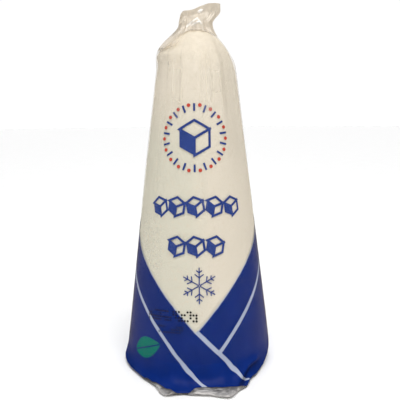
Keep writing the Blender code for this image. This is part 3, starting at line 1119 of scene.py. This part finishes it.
def scatter_tree():
    settings = {"Density": 1.0, "Grain Size": 0.4 * MM, "Lowest": 0.0, "Highest": NO_LIMIT,
                "Furthest Right": NO_LIMIT, "Furthest Back": NO_LIMIT, "Seed": 1}
    tree, size, result = new_tree("scattered_sugar", settings)
    place = split(tree, add(tree, "GeometryNodeInputPosition").outputs[0])
    wanted = calc(tree, "GREATER_THAN", place["Z"], size["Lowest"])
    for axis, limit in (("Z", "Highest"), ("X", "Furthest Right"), ("Y", "Furthest Back")):
        wanted = times(tree, wanted, calc(tree, "LESS_THAN", place[axis], size[limit]))
    points = add(tree, "GeometryNodeDistributePointsOnFaces", {
        "Mesh": size["Geometry"], "Selection": wanted,
        "Density": size["Density"], "Seed": size["Seed"]}, distribute_method="RANDOM")
    box = add(tree, "GeometryNodeMeshCube", {"Size": CRYSTAL_FORM})
    turn = add(tree, "FunctionNodeRandomValue", {
        1: ANY_TURN, "Seed": size["Seed"]}, data_type="FLOAT_VECTOR")
    scale = add(tree, "FunctionNodeRandomValue", {
        2: SMALLEST_GRAIN, 3: LARGEST_GRAIN, "Seed": size["Seed"]}, data_type="FLOAT")
    cubes = add(tree, "GeometryNodeInstanceOnPoints", {
        "Points": points.outputs["Points"], "Instance": box.outputs["Mesh"],
        "Rotation": turn.outputs[0], "Scale": times(tree, scale.outputs[1], size["Grain Size"])})
    return end_tree(tree, cubes.outputs[0], sugar_material, result)


scatter = scatter_tree()
crystals = grow("loose_crystals", scatter, {
    "Density": 1.05 * PER_SQUARE_MM, "Grain Size": 0.16 * MM, "Lowest": 40.0 * MM,
    "Highest": 143.0 * MM, "Furthest Right": NO_LIMIT, "Furthest Back": NO_LIMIT, "Seed": 5},
    sugar.data.copy())
crumbs = grow("sugar_crumbs", scatter, {
    "Density": 0.2 * PER_SQUARE_MM, "Grain Size": 0.26 * MM, "Lowest": 28.0 * MM,
    "Highest": 54.0 * MM, "Furthest Right": -7.0 * MM, "Furthest Back": -8.0 * MM, "Seed": 11},
    sugar.data.copy())
print("crystals:", len(crystals.data.polygons) // 6, "crumbs:", len(crumbs.data.polygons) // 6)

# %% [markdown]
# ## The print
#
# The ink lies on the inner side of the film, so the film's gloss runs over it unbroken. A
# printer lays the artwork out flat, and the bag then rolls it round the cone. The same is
# done here: shapes are drawn on the cone's flat development, x to the right and y up from
# the middle of the foot, and one function rolls every point onto the skin.

# %% Rolling a flat drawing onto the cone
SLANT_TO_APEX = APEX_HEIGHT / math.cos(HALF_ANGLE)
TURN_SHARE = math.sin(HALF_ANGLE)


def rolled(x, y):
    """Direction and height on the cone of a point of the flat drawing."""
    reach = math.hypot(x, SLANT_TO_APEX - y)
    turn = math.atan2(x, SLANT_TO_APEX - y)
    return turn / TURN_SHARE, APEX_HEIGHT - reach * math.cos(HALF_ANGLE)


def line_height(angle, slope, start):
    """Height where the flat drawing's line y = slope * x + start meets a direction."""
    turn = angle * TURN_SHARE
    reach = (SLANT_TO_APEX - start) / (math.cos(turn) + slope * math.sin(turn))
    return APEX_HEIGHT - reach * math.cos(HALF_ANGLE)


def soft_least(a, b, reach):
    """The lesser of two values, with a rounded change from one to the other."""
    return -reach * math.log(math.exp(-a / reach) + math.exp(-b / reach))


print("flat drawing: the foot's arc runs", round(2000 * math.pi * BASE_RADIUS), "mm round")

# %% [markdown]
# ### Ink
#
# Printing ink on film is satin and never quite even: a coarse and a fine noise mix two close
# tones of each colour. The deep blue also shows a greyish sheen where it turns away from the
# eye, as the film over it does, but not in the shadow near the floor.

# %% Ink materials
def ink_finish(name, colour, deeper, edge=()):
    """Uneven satin ink; edge holds the two colours of its sheen at a shallow angle."""
    material, tree = new_material(name)
    grain = pattern(tree, 0.6 * MM, 1.0)
    both = calc(tree, "ADD", times(tree, pattern(tree, 7.0 * MM, 3.0), 0.7),
                times(tree, grain, 0.3))
    paint = blend_colour(tree, ramp(tree, both, 0.38, 0.62), colour, deeper)
    if edge:
        shallow = add(tree, "ShaderNodeLayerWeight", {"Blend": 0.5}).outputs["Facing"]
        share = calc(tree, "POWER", shallow, 3.0)
        height = split(tree, own_place(tree))["Z"]
        sheen = times(tree, share, ramp(tree, height, 3.0 * MM, 12.0 * MM, 0.0, 0.9))
        paint = blend_colour(tree, sheen, paint, blend_colour(tree, share, *edge))
    finish_with(tree, add(tree, "ShaderNodeBsdfPrincipled", {
        "Base Color": paint, "Roughness": ramp(tree, grain, 0.3, 0.7, 0.48, 0.56),
        "Specular IOR Level": 0.0}))
    return material


deep_blue = ink_finish("deep_blue_ink", (0.0045, 0.026, 0.205), (0.0035, 0.022, 0.175),
                       ((0.118, 0.106, 0.205), (0.250, 0.232, 0.245)))
pale_blue = ink_finish("pale_blue_ink", (0.47, 0.53, 0.68), (0.42, 0.48, 0.63))
line_blue = ink_finish("line_blue_ink", (0.038, 0.072, 0.290), (0.030, 0.060, 0.250))
warm_red = ink_finish("warm_red_ink", (0.62, 0.085, 0.055), (0.56, 0.070, 0.048))
leaf_green = ink_finish("green_ink", (0.006, 0.205, 0.160), (0.004, 0.170, 0.135))
code_black = ink_finish("black_ink", (0.003, 0.003, 0.006), (0.008, 0.008, 0.011))

# %% [markdown]
# ### The blue wrap
#
# Two blue bands cross in front and leave a V of clear film between them. The bands rise
# steeply at both sides and level off towards the back, where they meet. The wrap is one
# sheet: each column starts at the rim, or part way down the flap, and ends at whichever band
# is higher there.

# %% The wrap's sheet
BAND_LEVEL = 74.0 * MM
LEVEL_ROUND = 3.0 * MM
INK_DEPTH = 0.10 * MM
LEFT_BAND = (-1.160, 21.08 * MM)    # slope and start of the band's upper edge, drawn flat
RIGHT_BAND = (1.185, 23.20 * MM)
WRAP_COLUMNS = 480
LAST_RIM_ROW = 9.3 * MM
BEND_ROWS = spread(9.5 * MM, 12.7 * MM, 12)     # the same in every column
FIRST_WALL_ROW = 13.2 * MM


def band_top(angle):
    """Height of the wrap's upper edge in one direction."""
    turn = from_front(angle)
    edge = max(line_height(turn, *LEFT_BAND), line_height(turn, *RIGHT_BAND))
    return soft_least(edge, BAND_LEVEL, LEVEL_ROUND)


def sheet_from_columns(name, columns, material, closed):
    """A surface from columns of points, all with the same number of rows."""
    rows = len(columns[0])
    points = [p for column in columns for p in column]
    faces = []
    for c in range(len(columns) if closed else len(columns) - 1):
        d = (c + 1) % len(columns)
        for r in range(rows - 1):
            faces.append((c * rows + r, d * rows + r, d * rows + r + 1, c * rows + r + 1))
    data = bpy.data.meshes.new(name)
    data.from_pydata(points, [], faces)
    data.shade_smooth()
    data.materials.append(material)
    return in_scene(name, data)


def wrap_column(angle):
    heights = spread(ink_bottom(angle), LAST_RIM_ROW, 30) + BEND_ROWS
    heights += spread(FIRST_WALL_ROW, band_top(angle), 58)
    return [skin_point(angle, height, INK_DEPTH) for height in heights]


wrap = sheet_from_columns(
    "blue_wrap", [wrap_column(a) for a in ring_angles(WRAP_COLUMNS)], deep_blue, True)
print("wrap:", len(wrap.data.polygons), "faces")

# %% [markdown]
# ### Stripes
#
# Pale stripes follow the bands. Each is a ribbon along a line of the flat drawing. One runs
# inside the left band, one edges it where it crosses over, and one follows the right band.
# The outer two go on level round the back, below the wrap's top. Low down, where the flap
# bends the film outwards, short tables of points take over from the lines. A hair-thin pale
# line also edges the V, as the white under the blue shows there. The film's crinkles make
# every edge waver a little.

# %% Ribbons along the bands
STRIPE_DEPTH = 0.07 * MM
EDGE_DEPTH = 0.085 * MM
STRIPE_WIDTH, MIDDLE_WIDTH, END_WIDTH, EDGE_WIDTH = 1.50 * MM, 1.75 * MM, 0.9 * MM, 0.42 * MM
LEFT_STRIPE = (-1.14, 2.79 * MM)    # slope and start of a stripe's line, drawn flat
MIDDLE_STRIPE = (-1.008, 22.35 * MM)
RIGHT_STRIPE = (1.210, 3.55 * MM)
STRIPE_LEVEL = 57.0 * MM
MIDDLE_LEVEL = 90.0 * MM            # far above the middle stripe, which stays straight
LEFT_TAIL = (       # degrees from the front, height in mm
    (-39.8, 25.25), (-31.0, 21.0), (-23.5, 16.7), (-16.8, 12.5), (-9.4, 8.59),
    (-5.3, 7.06), (-2.7, 5.98), (0.1, 4.81), (2.2, 3.86), (4.9, 2.95),
)
MIDDLE_TAIL = (
    (25.0, 7.85), (27.0, 7.10), (28.7, 6.27), (30.0, 5.03), (31.7, 3.49), (32.7, 2.85),
)
TURNED_END = ((32.0, 2.95), (33.7, 2.49), (36.5, 1.90))
V_TIP = -2.3        # the direction in which the two bands' edges meet, in degrees


def waver(angle, height):
    place = Vector((math.sin(angle), -math.cos(angle), height / (30.0 * MM))) * 9.0
    return 0.11 * MM * noise.noise(place) + 0.06 * MM * noise.noise(place * 3.1)


def ribbon(name, centre, width, depth, columns=5):
    """A pale ribbon of print; centre gives (angle, height) pairs in order."""
    sides = []
    for k, (angle, height) in enumerate(centre):
        before, after = centre[max(k - 1, 0)], centre[min(k + 1, len(centre) - 1)]
        radius = cone_radius(height)
        along = Vector(((after[0] - before[0]) * radius, after[1] - before[1], 0.0))
        along.normalize()
        row = []
        drawn_in = mix(0.60, 1.0, smooth((height - 3.6 * MM) / (5.0 * MM)))
        for c in range(columns):
            side = 1.0 - 2.0 * c / (columns - 1)
            off = side * drawn_in * (0.5 * width + waver(angle + 0.7 * side, height))
            row.append(skin_point(angle + along.y * off / radius, height - along.x * off, depth))
        sides.append(row)
    return sheet_from_columns(name, sides, pale_blue, False)


def stripe_path(line, level, first, last, count):
    """Directions and heights along a flat line that levels off at a height."""
    return [(a, soft_least(line_height(a, *line), level, LEVEL_ROUND))
            for a in spread(math.radians(first), math.radians(last), count)]


def tail(rows, count):
    """Directions and heights through the rows of a table, in degrees and millimetres."""
    return [(math.radians(a), table_curve(rows, 1, a) * MM)
            for a in spread(rows[0][0], rows[-1][0], count)]


def edge_path(first, last, count=320):
    return [(a, band_top(a)) for a in spread(math.radians(first), math.radians(last), count)]


left_path = stripe_path(LEFT_STRIPE, STRIPE_LEVEL, -180, -40.5, 250) + tail(LEFT_TAIL, 110)
middle_path = stripe_path(MIDDLE_STRIPE, MIDDLE_LEVEL, -1.3, 24.0, 88) + tail(MIDDLE_TAIL, 24)
right_path = stripe_path(RIGHT_STRIPE, STRIPE_LEVEL, 16.4, 180, 320)
stripes = [
    ribbon("stripe_left", left_path, STRIPE_WIDTH, STRIPE_DEPTH),
    ribbon("stripe_middle", middle_path, MIDDLE_WIDTH, STRIPE_DEPTH),
    ribbon("stripe_end", tail(TURNED_END, 16), END_WIDTH, STRIPE_DEPTH, 3),
    ribbon("stripe_right", right_path, STRIPE_WIDTH, STRIPE_DEPTH),
    ribbon("edge_left", edge_path(-180, V_TIP), EDGE_WIDTH, EDGE_DEPTH, 3),
    ribbon("edge_right", edge_path(V_TIP, 180), EDGE_WIDTH, EDGE_DEPTH, 3),
]
print("stripes:", [len(s.data.polygons) for s in stripes])

# %% [markdown]
# ### Drawing the small motifs
#
# The clear V and the bands carry small printed motifs: sugar cubes, a ray ring, a crystal,
# a leaf and a dotted code. Each is drawn flat in millimetres from three kinds of shapes: a
# stroke of even width, a filled four-cornered patch and a round dot. All are cut into small
# faces, so that they can bend round the cone.

# %% Flat shapes
def stroke(corners, width, step=0.8, closed=False):
    """Faces of a line of even width through the corners, mitred, in flat millimetres."""
    spots = [Vector(c) for c in corners]
    count = len(spots)
    faces, rails = [], []
    for k in range(count):
        back = spots[(k - 1) % count] if closed or k else None
        ahead = spots[(k + 1) % count] if closed or k < count - 1 else None
        into = (spots[k] - back).normalized() if back is not None else None
        out = (ahead - spots[k]).normalized() if ahead is not None else into
        into = into or out
        side = Vector((-(into + out).y, (into + out).x)).normalized()
        reach = 0.5 * width / max(side.dot(Vector((-out.y, out.x))), 0.4)
        rails.append((spots[k] + side * reach, spots[k] - side * reach))
    for k in range(count if closed else count - 1):
        (a, d), (b, c) = rails[k], rails[(k + 1) % count]
        faces += patch(d, c, b, a, max(1, round((b - a).length / step)), 1)
    return faces


def patch(a, b, c, d, across, up):
    """Faces of a four-cornered patch, cut into across times up pieces."""
    a, b, c, d = (Vector(p) for p in (a, b, c, d))

    def at(u, v):
        return a.lerp(b, u).lerp(d.lerp(c, u), v)

    return [[at(i / across, j / up), at((i + 1) / across, j / up),
             at((i + 1) / across, (j + 1) / up), at(i / across, (j + 1) / up)]
            for i in range(across) for j in range(up)]


def dot(radius, corners=12):
    turns = [2.0 * math.pi * i / corners for i in range(corners)]
    return [[radius * Vector((math.cos(t), math.sin(t))) for t in turns]]


def flat_mesh(name, faces):
    """A mesh of flat faces in the x, y plane, all turned to face up."""
    mesh = bmesh.new()
    for face in faces:
        mesh.faces.new([mesh.verts.new((p.x * MM, p.y * MM, 0.0)) for p in face])
    bmesh.ops.remove_doubles(mesh, verts=mesh.verts, dist=0.002 * MM)
    mesh.normal_update()
    for face in mesh.faces:
        if face.normal.z < 0.0:
            face.normal_flip()
    return plain_mesh(name, mesh)

# %% [markdown]
# ### Rows and rings by Geometry Nodes
#
# What repeats is laid out by Geometry Nodes while it is still flat: one tree sets a motif
# along a row and tips every second one the other way, one sets a mark round a ring, and one
# fills a grid and leaves some places empty. All three end by setting the drawn shape on their
# points. The results are then rolled onto the film.

# %% Layout trees
def set_shapes(tree, size, result, points, material, **inputs):
    """Sets the drawn shape on every point and ends the tree."""
    shapes = add(tree, "GeometryNodeInstanceOnPoints", {
        "Points": points, "Instance": size["Geometry"], **inputs})
    return end_tree(tree, shapes.outputs[0], material, result)


def row_tree(material):
    tree, size, result = new_tree("print_row", {
        "Count": 3, "Pitch": 7.0 * MM, "Start X": 0.0, "Row Y": 0.0, "Tip": 0.2})
    line = add(tree, "GeometryNodeMeshLine", {
        "Count": size["Count"], "Offset": joined(tree, X=size["Pitch"]),
        "Start Location": joined(tree, X=size["Start X"], Y=size["Row Y"])})
    index = add(tree, "GeometryNodeInputIndex").outputs[0]
    swing = calc(tree, "COSINE", times(tree, index, math.pi))
    return set_shapes(tree, size, result, line.outputs[0], material,
                      Rotation=joined(tree, Z=times(tree, swing, size["Tip"])))


def ring_tree(material):
    tree, size, result = new_tree("print_ring", {
        "Count": 6, "Ring Radius": 0.0, "Centre X": 0.0, "Centre Y": 0.0, "Start": 0.0})
    points = add(tree, "GeometryNodePoints", {"Count": size["Count"]})
    index = add(tree, "GeometryNodeInputIndex").outputs[0]
    turn = calc(tree, "MULTIPLY_ADD", calc(tree, "DIVIDE", index, size["Count"]),
                2.0 * math.pi, size["Start"])
    x, y = (calc(tree, "MULTIPLY_ADD", calc(tree, wave, turn), size["Ring Radius"], size[middle])
            for wave, middle in (("COSINE", "Centre X"), ("SINE", "Centre Y")))
    placed = add(tree, "GeometryNodeSetPosition", {
        "Geometry": points.outputs[0], "Position": joined(tree, X=x, Y=y)})
    return set_shapes(tree, size, result, placed.outputs[0], material,
                      Rotation=joined(tree, Z=turn))


def grid_tree(material):
    tree, size, result = new_tree("print_grid", {
        "Columns": 12, "Rows": 4, "Pitch": 1.0 * MM, "Centre X": 0.0, "Centre Y": 0.0,
        "Filled": 0.6, "Seed": 2})
    wide, high = (times(tree, size["Pitch"], minus(tree, size[label], 1.0))
                  for label in ("Columns", "Rows"))
    grid = add(tree, "GeometryNodeMeshGrid", {
        "Size X": wide, "Size Y": high, "Vertices X": size["Columns"],
        "Vertices Y": size["Rows"]})
    kept = add(tree, "FunctionNodeRandomValue", {
        "Probability": size["Filled"], "Seed": size["Seed"]}, data_type="BOOLEAN")
    placed = add(tree, "GeometryNodeSetPosition", {
        "Geometry": grid.outputs["Mesh"],
        "Offset": joined(tree, X=size["Centre X"], Y=size["Centre Y"])})
    return set_shapes(tree, size, result, placed.outputs[0], material,
                      Selection=kept.outputs[3])

# %% Lay out, then roll onto the film
MOTIF_DEPTH = 0.05 * MM


def printed(name, tree, sizes, faces):
    """Lays the flat faces out by the tree and rolls the result under the film's surface."""
    piece = grow(name, tree, sizes, flat_mesh(name + "_flat", faces))
    for vertex in piece.data.vertices:
        angle, height = rolled(vertex.co.x, vertex.co.y)
        vertex.co = skin_point(angle, height, MOTIF_DEPTH)
    piece.data.shade_smooth()
    return piece


def row_print(name, count, pitch, start, tip, faces):
    """A row of blue motifs; pitch and start in mm, tip in radians."""
    return printed(name, blue_row, {
        "Count": count, "Pitch": pitch * MM, "Start X": start[0] * MM, "Row Y": start[1] * MM,
        "Tip": tip}, faces)


def ring_print(name, tree, count, radius, centre, start, faces):
    """Marks round a centre; radius and centre in mm, the first mark's direction in degrees."""
    return printed(name, tree, {
        "Count": count, "Ring Radius": radius * MM, "Centre X": centre[0] * MM,
        "Centre Y": centre[1] * MM, "Start": math.radians(start)}, faces)


def grid_print(name, columns, rows, pitch, centre, filled, seed, radius):
    """A grid of dots with gaps; pitch, centre and radius in mm."""
    return printed(name, dot_grid, {
        "Columns": columns, "Rows": rows, "Pitch": pitch * MM, "Centre X": centre[0] * MM,
        "Centre Y": centre[1] * MM, "Filled": filled, "Seed": seed}, dot(radius, 8))


blue_row, blue_ring, dot_grid = row_tree(line_blue), ring_tree(line_blue), grid_tree(code_black)
print("layout trees:", [len(tree.nodes) for tree in (blue_row, blue_ring, dot_grid)], "nodes")

# %% [markdown]
# ### Sugar cubes
#
# Two rows of sugar cubes, drawn as a printer's block would: the left face solid blue, the
# other two in outline. The upper row has five, the lower three. One larger cube stands by
# itself high on the loaf, in the middle of the emblem.

# %% Cube rows
EMBLEM_CENTRE = (-0.8, 101.0)


def cube_drawing(edge, line):
    """A cube seen over one corner, centred, with its left face filled."""
    right, left = Vector((0.866 * edge, 0.5 * edge)), Vector((-0.866 * edge, 0.5 * edge))
    up, base = Vector((0.0, edge)), Vector((0.0, -edge))
    shapes = patch(base, base + left, base + left + up, base + up, 5, 5)
    shapes += stroke([base, base + right, base + right + up, base + up], line, closed=True)
    shapes += stroke([base + up, base + up + right, base + up + right + left, base + up + left],
                     line, closed=True)
    return shapes


motifs = [
    row_print("cubes_upper", 5, 7.7, (-16.2, 73.6), 0.16, cube_drawing(3.9, 0.95)),
    row_print("cubes_lower", 3, 7.9, (-8.7, 57.6), -0.16, cube_drawing(4.0, 0.95)),
    row_print("emblem_cube", 1, 0.0, EMBLEM_CENTRE, 0.0, cube_drawing(7.0, 1.0)),
]
print("cubes:", [len(cube.data.polygons) for cube in motifs])

# %% [markdown]
# ### Emblem, crystal, code and leaf
#
# The emblem's cube stands among blue rays and red dots. Below the rows comes a fine line
# drawing of a six-armed crystal. A dotted code crosses the left band's edge, and a green leaf
# lies on the blue at the lower left. A ring of one gives the leaf its place and its slant.

# %% The smaller motifs
def crystal_arm(length, line):
    """One arm along x with two pairs of side needles."""
    shapes = stroke([(0.25, 0.0), (length, 0.0)], line)
    for at, needle in ((0.45 * length, 0.30 * length), (0.72 * length, 0.20 * length)):
        for side in (-1.0, 1.0):
            shapes += stroke([(at, 0.0), (at + 0.6 * needle, 0.8 * needle * side)], line)
    return shapes


def leaf_half(length, width, side, count=14, rib=0.28):
    """Half of a pointed leaf beside a thin open midrib, in count slices."""
    ends = [(u, width * max(math.sin(math.pi * u), 0.0) ** 0.8 * (1.0 - 0.25 * u) + 0.02)
            for u in (i / count for i in range(count + 1))]
    shapes = []
    for (u0, w0), (u1, w1) in zip(ends, ends[1:]):
        shapes += patch((u0 * length, rib * side), (u1 * length, rib * side),
                        (u1 * length, (rib + w1) * side), (u0 * length, (rib + w0) * side), 1, 3)
    return shapes


motifs += [
    ring_print("emblem_rays", blue_ring, 18, 10.6, EMBLEM_CENTRE, 10.0,
               stroke([(0.0, 0.0), (3.0, 0.0)], 0.8)),
    ring_print("emblem_dots", ring_tree(warm_red), 18, 13.1, EMBLEM_CENTRE, 0.0, dot(0.75)),
    ring_print("crystal_drawing", blue_ring, 6, 0.0, (0.6, 41.8), 30.0, crystal_arm(7.4, 0.42)),
    grid_print("code_upper", 19, 4, 1.20, (-11.4, 29.2), 0.66, 4, 0.45),
    grid_print("code_lower", 10, 3, 1.15, (-11.6, 23.5), 0.62, 9, 0.42),
    ring_print("leaf_mark", ring_tree(leaf_green), 1, 0.0, (-31.4, 12.2), 17.0,
               leaf_half(15.5, 4.6, 1.0) + leaf_half(15.5, 4.6, -1.0)),
]
print("motifs:", {m.name: len(m.data.polygons) for m in motifs})

# %% [markdown]
# ## Ground and light
#
# A pale floor under a wide, high main light, as in a small product studio: the floor throws
# most of the light back onto the loaf, so the shading stays soft. A second wide light comes
# from behind and shines through the film's edges. Two round lamps above, the right one the
# stronger, make the top of the loaf and the upper right a little brighter, as in the
# photograph. The background is white for the camera only, so that it doesn't flatten the
# loaf's shading.

# %% Floor and lights
AIM = Vector((0.0, 0.0, 90.0 * MM))
FLOOR_RADIUS = 3.0
BELOW_LOAF = 0.2 * MM


def point_at(light, place):
    light.location = place
    light.rotation_euler = (AIM - Vector(place)).to_track_quat("-Z", "Y").to_euler()


def round_lamp(name, place, size, power):
    data = bpy.data.lights.new(name, "AREA")
    data.shape, data.size, data.energy = "DISK", size, power
    point_at(in_scene(name, data), place)


def wide_light(name, turn, climb, width, strength):
    """Light from very far away; turn from the front and climb above level, in degrees."""
    data = bpy.data.lights.new(name, "SUN")
    data.angle, data.energy = math.radians(width), strength
    turn, climb = math.radians(turn), math.radians(climb)
    point_at(in_scene(name, data), AIM + Vector((
        math.sin(turn) * math.cos(climb), -math.cos(turn) * math.cos(climb), math.sin(climb))))


def floor_finish():
    material, tree = new_material("pale_floor")
    colour = blend_colour(tree, ramp(tree, pattern(tree, 30.0 * MM), 0.3, 0.7),
                          (0.96, 0.96, 0.96), (0.975, 0.975, 0.975))
    finish_with(tree, add(tree, "ShaderNodeBsdfPrincipled", {
        "Base Color": colour, "Roughness": 0.8, "Specular IOR Level": 0.2}))
    return material


bpy.ops.mesh.primitive_circle_add(vertices=96, radius=FLOOR_RADIUS, fill_type="NGON",
                                  location=(0.0, 0.0, -BELOW_LOAF))
floor = bpy.context.object
floor.name = "floor"
floor.data.materials.append(floor_finish())
wide_light("main_light", 18.0, 72.0, 50.0, 2.20)
wide_light("back_light", 180.0, 40.0, 60.0, 1.05)
round_lamp("right_lamp", (0.10, -0.30, 0.60), 0.30, 0.62)
round_lamp("left_lamp", (-0.25, -0.30, 0.45), 0.30, 0.34)

# %% Surroundings
WHITE = (1.0, 1.0, 1.0, 1.0)
world = bpy.data.worlds.new("studio")
bpy.context.scene.world = world
world.use_nodes = True
sky = world.node_tree
sky.nodes.clear()
seen = add(sky, "ShaderNodeLightPath").outputs["Is Camera Ray"]
around = add(sky, "ShaderNodeBackground", {"Color": WHITE, "Strength": 0.14})
behind = add(sky, "ShaderNodeBackground", {"Color": WHITE, "Strength": 1.02})
add(sky, "ShaderNodeOutputWorld", {"Surface": add(sky, "ShaderNodeMixShader", {
    0: seen, 1: around.outputs[0], 2: behind.outputs[0]}).outputs[0]})
bpy.context.scene.view_settings.view_transform = "Standard"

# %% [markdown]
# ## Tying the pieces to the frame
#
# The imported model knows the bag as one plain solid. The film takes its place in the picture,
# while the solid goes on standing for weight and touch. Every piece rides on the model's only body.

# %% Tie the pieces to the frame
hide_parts(NODE)
sugar_pieces = [sugar, crystals, crumbs]
print_pieces = [wrap] + stripes + motifs
for slot, pieces in (("film", [film]), ("sugar", sugar_pieces), ("print", print_pieces)):
    for piece in pieces:
        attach(piece, "root")
print("pieces:", 1 + len(sugar_pieces) + len(print_pieces))
